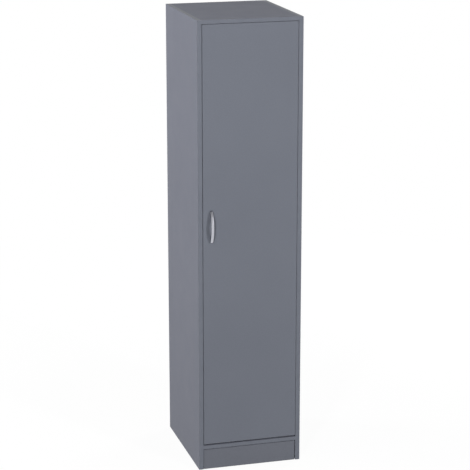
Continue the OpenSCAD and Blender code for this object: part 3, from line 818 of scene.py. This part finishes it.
def make_screws(node, way):
    """One piece for the group, joined from the screws of each direction."""
    joined = bmesh.new()
    boxes = islands(node)
    for number, direction in enumerate(sorted({heads_face(way, b) for b in boxes})):
        chosen = [b for b in boxes if heads_face(way, b) == direction]
        joined.from_mesh(set_screws(node + "_points", direction, chosen, number + len(boxes)))
    place_piece(node + "_set", joined, [SCREW_ZINC], node)


for screw_node, heads in SCREW_GROUPS.items():
    make_screws(screw_node, heads)


# Soft pads on the door stops: an upright wall to this share of the height, and a dome
PAD_WALL = 0.35
PAD_SEGMENTS = 32


def make_pads():
    """The pads, as one piece of low domes that face the door."""
    node = "stop_pads"
    joined = bmesh.new()
    for low, high in islands(node):
        radius = (high.x - low.x) / 2
        height = high.y - low.y
        angles = [i * math.pi / 2 / DOME_STEPS for i in range(DOME_STEPS)]
        dome = [
            (radius * math.cos(a) ** 0.5, height * (PAD_WALL + (1 - PAD_WALL) * math.sin(a))) for a in angles
        ]
        pad = lathe([(0.0, 0.0), (radius, 0.0)] + dome + [(0.0, height)], PAD_SEGMENTS)
        smooth_faces(pad, CURVED_SHARP)
        stand = Matrix.Translation(rear_centre(low, high)) @ Matrix.Rotation(math.pi / 2, 4, "X")
        bmesh.ops.transform(pad, matrix=stand, verts=pad.verts)
        data = bpy.data.meshes.new("pad")
        pad.to_mesh(data)
        pad.free()
        joined.from_mesh(data)
        bpy.data.meshes.remove(data)
    place_piece("soft_pads", joined, [SOFT_PAD], node)


make_pads()


# Bow handle: a crowned strap that rises off the door and comes back to it. The heights
# are over the door, and the arcs are the ones of the solid.
BOW_END = 7.0 * MM
BOW_THICK = 4.5 * MM
FINGER_HALF = 40.0 * MM
CROWN_RADIUS = 14.0 * MM
FRONT_CORNER = 0.8 * MM
BACK_CORNER = 0.5 * MM
# Where the strap is thin, its corners are no larger than these shares of its thickness
FRONT_CORNER_MOST = 0.4
BACK_CORNER_MOST = 0.2
END_ROUND = 2.6 * MM
# The strap's rounded ends narrow by this share of what they drop
END_NARROWING = 0.5
END_STEPS = 7
BOW_STEPS = 80
CORNER_STEPS = 5
CROWN_STEPS = 10


def arc_rise(half, top, along):
    """Height over the chord of an arc that is top high in the middle and 0 at half."""
    radius = (half * half + top * top) / (2 * top)
    return math.sqrt(max(radius * radius - along * along, 0.0)) - radius + top


def bow_stations(half):
    """Places along the bow, close together where its ends are rounded."""
    turns = [i * math.pi / 2 / END_STEPS for i in range(1, END_STEPS + 1)]
    end = [half - END_ROUND * (1 - math.sin(t)) for t in turns]
    inner = half - END_ROUND
    middle = [-inner + 2 * inner * i / BOW_STEPS for i in range(BOW_STEPS + 1)]
    return [-x for x in reversed(end)] + middle + end


def quarter_round(centre, radius, start):
    """Points of a quarter circle, turning left from the angle start in degrees."""
    angles = [math.radians(start + 90 * i / CORNER_STEPS) for i in range(CORNER_STEPS + 1)]
    return [(centre[0] + radius * math.cos(a), centre[1] + radius * math.sin(a)) for a in angles]


def strap_section(width, back, front):
    """Points round the strap as (across, rise), with a crowned front and rounded corners."""
    half = width / 2
    deep = front - back
    corner = min(FRONT_CORNER, deep * FRONT_CORNER_MOST)
    heel = min(BACK_CORNER, deep * BACK_CORNER_MOST)
    flat = half - corner

    def crown(x):
        return CROWN_RADIUS - math.sqrt(CROWN_RADIUS * CROWN_RADIUS - x * x)

    shoulder = front - crown(flat) - corner
    across = [flat * (1 - 2 * i / CROWN_STEPS) for i in range(1, CROWN_STEPS)]
    front_face = [(x, front - crown(x)) for x in across]
    return (
        quarter_round((flat, shoulder), corner, 0)
        + front_face
        + quarter_round((-flat, shoulder), corner, 90)
        + quarter_round((-half + heel, back + heel), heel, 180)
        + quarter_round((half - heel, back + heel), heel, 270)
    )


def make_handle():
    """The bow, lofted through sections from its lower end to its upper one."""
    node = "bow_handle"
    low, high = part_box(node)
    half = (high.z - low.z) / 2
    width = high.x - low.x
    rise = high.y - low.y
    centre = rear_centre(low, high)
    mesh = bmesh.new()
    rings = []
    for along in bow_stations(half):
        front = BOW_END + arc_rise(half, rise - BOW_END, along)
        back = arc_rise(FINGER_HALF, rise - BOW_THICK, along) if abs(along) < FINGER_HALF else 0.0
        past = max(0.0, abs(along) - (half - END_ROUND))
        drop = END_ROUND - math.sqrt(END_ROUND * END_ROUND - past * past)
        ring = strap_section(width - drop * END_NARROWING, back, front - drop)
        rings.append([mesh.verts.new(centre + Vector((x, -y, along))) for x, y in ring])
    for lower, upper in zip(rings, rings[1:]):
        for a in range(len(lower)):
            b = (a + 1) % len(lower)
            mesh.faces.new((lower[a], lower[b], upper[b], upper[a]))
    mesh.faces.new(rings[0])
    mesh.faces.new(list(reversed(rings[-1])))
    bmesh.ops.remove_doubles(mesh, verts=mesh.verts, dist=SAME_POINT)
    bmesh.ops.recalc_face_normals(mesh, faces=mesh.faces)
    smooth_faces(mesh, CURVED_SHARP)
    place_piece("bow_handle_strap", mesh, [SATIN_NICKEL], node)


make_handle()


# Stage: pale floor, white surroundings and soft lamps
FLOOR_HALF = 30.0
WHITE = (1, 1, 1, 1)
# The floor glows this strong near the object, where it keeps this share of its shadow. Both
# fade out between these two distances.
FLOOR_GLOW = 1.15
SHADOW_SHARE = 0.18
SHADOW_NEAR = 1.0
SHADOW_FAR = 3.5
# Rays that come to the stage off metal or through a clear piece
MIRRORED = ("Is Glossy Ray", "Is Transmission Ray")


def ray_share(tree, *kinds):
    """1 for rays of any of these kinds, and 0 for the rest."""
    ray = add(tree, "ShaderNodeLightPath").outputs
    share = ray[kinds[0]]
    for kind in kinds[1:]:
        share = add(tree, "ShaderNodeMath", {"operation": "MAXIMUM"}, {0: share, 1: ray[kind]}).outputs[0]
    return share


def fade_out(tree, distance, near, far):
    """A value that goes from near to far over the distances where the shadow fades."""
    return add(
        tree,
        "ShaderNodeMapRange",
        {"From Min": SHADOW_NEAR, "From Max": SHADOW_FAR, "To Min": near, "To Max": far},
        {"Value": distance},
    ).outputs["Result"]


def make_floor():
    """The floor: white as seen or mirrored, with some of its shadow near the object."""
    mesh = bmesh.new()
    bmesh.ops.create_grid(mesh, x_segments=1, y_segments=1, size=FLOOR_HALF)
    floor = new_object("studio_floor", mesh)
    material, tree, shader = new_material("pale_floor", "#A4A4A4", roughness=0.9, Specular_IOR_Level=0.0)
    floor.data.materials.append(material)
    away = add(tree, "ShaderNodeVectorMath", {"operation": "LENGTH"}, {0: object_point(tree)})
    distance = away.outputs["Value"]
    white = fade_out(tree, distance, 1.0 - SHADOW_SHARE, 1.0)
    seen = ray_share(tree, "Is Camera Ray", *MIRRORED)
    share = add(tree, "ShaderNodeMath", {"operation": "MULTIPLY"}, {0: white, 1: seen})
    strength = fade_out(tree, distance, FLOOR_GLOW, 1.0)
    glow = add(tree, "ShaderNodeEmission", {"Color": WHITE}, {"Strength": strength})
    mix = add(
        tree,
        "ShaderNodeMixShader",
        {},
        {0: share.outputs[0], 1: shader.outputs["BSDF"], 2: glow.outputs["Emission"]},
    )
    tree.links.new(mix.outputs["Shader"], tree.nodes["Material Output"].inputs["Surface"])


def make_world(ambient, ceiling):
    """White to the eye, with this soft light on the object and mirrored with a ceiling this strong."""
    world = bpy.data.worlds.new("white_studio")
    bpy.context.scene.world = world
    world.use_nodes = True
    tree = world.node_tree
    back = tree.nodes["Background"]
    back.inputs["Color"].default_value = WHITE
    way = add(tree, "ShaderNodeTexCoord").outputs["Generated"]
    up = add(tree, "ShaderNodeSeparateXYZ", {}, {"Vector": way}).outputs["Z"]
    walls = add(
        tree,
        "ShaderNodeMapRange",
        {"From Min": 0.0, "From Max": 1.0, "To Min": 1.0, "To Max": ceiling},
        {"Value": up},
    )
    soft = add(
        tree,
        "ShaderNodeMix",
        {MIX_FIRST: ambient},
        {"Factor": ray_share(tree, *MIRRORED), MIX_SECOND: walls.outputs["Result"]},
    )
    level = add(
        tree,
        "ShaderNodeMix",
        {MIX_SECOND: 1.0},
        {"Factor": ray_share(tree, "Is Camera Ray"), MIX_FIRST: soft.outputs["Result"]},
    )
    tree.links.new(level.outputs["Result"], back.inputs["Strength"])


def aim_at(thing, place, aim):
    """Puts a lamp or a camera at a place and turns it to look at its aim."""
    thing.location = place
    thing.rotation_euler = (Vector(aim) - Vector(place)).to_track_quat("-Z", "Y").to_euler()


def add_lamp(name, place, aim, size, watts, mirrored=False):
    """A soft lamp of this width and height. Only one that is mirrored leaves a glint on metal."""
    data = bpy.data.lights.new(name, "AREA")
    data.shape = "RECTANGLE"
    data.size, data.size_y = size
    data.energy = watts
    lamp = bpy.data.objects.new(name, data)
    bpy.context.scene.collection.objects.link(lamp)
    aim_at(lamp, place, aim)
    lamp.visible_glossy = mirrored


def add_camera():
    """The photograph's camera."""
    data = bpy.data.cameras.new("photo_camera")
    data.sensor_width = SENSOR_WIDTH
    data.lens = LENS
    data.clip_start = 0.1
    data.clip_end = 100
    camera = bpy.data.objects.new("photo_camera", data)
    bpy.context.scene.collection.objects.link(camera)
    aim_at(camera, CAMERA_PLACE, CAMERA_AIM)
    bpy.context.scene.camera = camera


make_floor()
make_world(ambient=0.05, ceiling=0.15)
# What the lamps look at: the door, and the body at its middle height or a little over it
FRONT_AIM = (0, -0.2, 1.0)
MIDDLE_AIM = (0, 0, 1.0)
HIGH_AIM = (0, 0, 1.3)
add_lamp("right_key", (2.7, -5.2, 3.0), FRONT_AIM, size=(0.5, 0.5), watts=140)
add_lamp("left_key", (-3.0, -5.2, 3.0), FRONT_AIM, size=(0.5, 0.5), watts=170)
add_lamp("left_window", (-2.6, -0.9, 2.9), HIGH_AIM, size=(1.4, 1.4), watts=17)
add_lamp("left_rear", (-3.4, 1.8, 2.4), HIGH_AIM, size=(1.0, 1.0), watts=60)
add_lamp("right_rear", (3.4, 2.6, 1.6), MIDDLE_AIM, size=(1.6, 1.6), watts=110)
add_lamp("ceiling_panel", (0, 0, 4.6), MIDDLE_AIM, size=(2.0, 2.0), watts=13)
add_lamp("right_glint", (2.7, -5.2, 2.4), FRONT_AIM, size=(1.4, 2.4), watts=8, mirrored=True)
add_camera()
bpy.context.scene.view_settings.view_transform = "Standard"
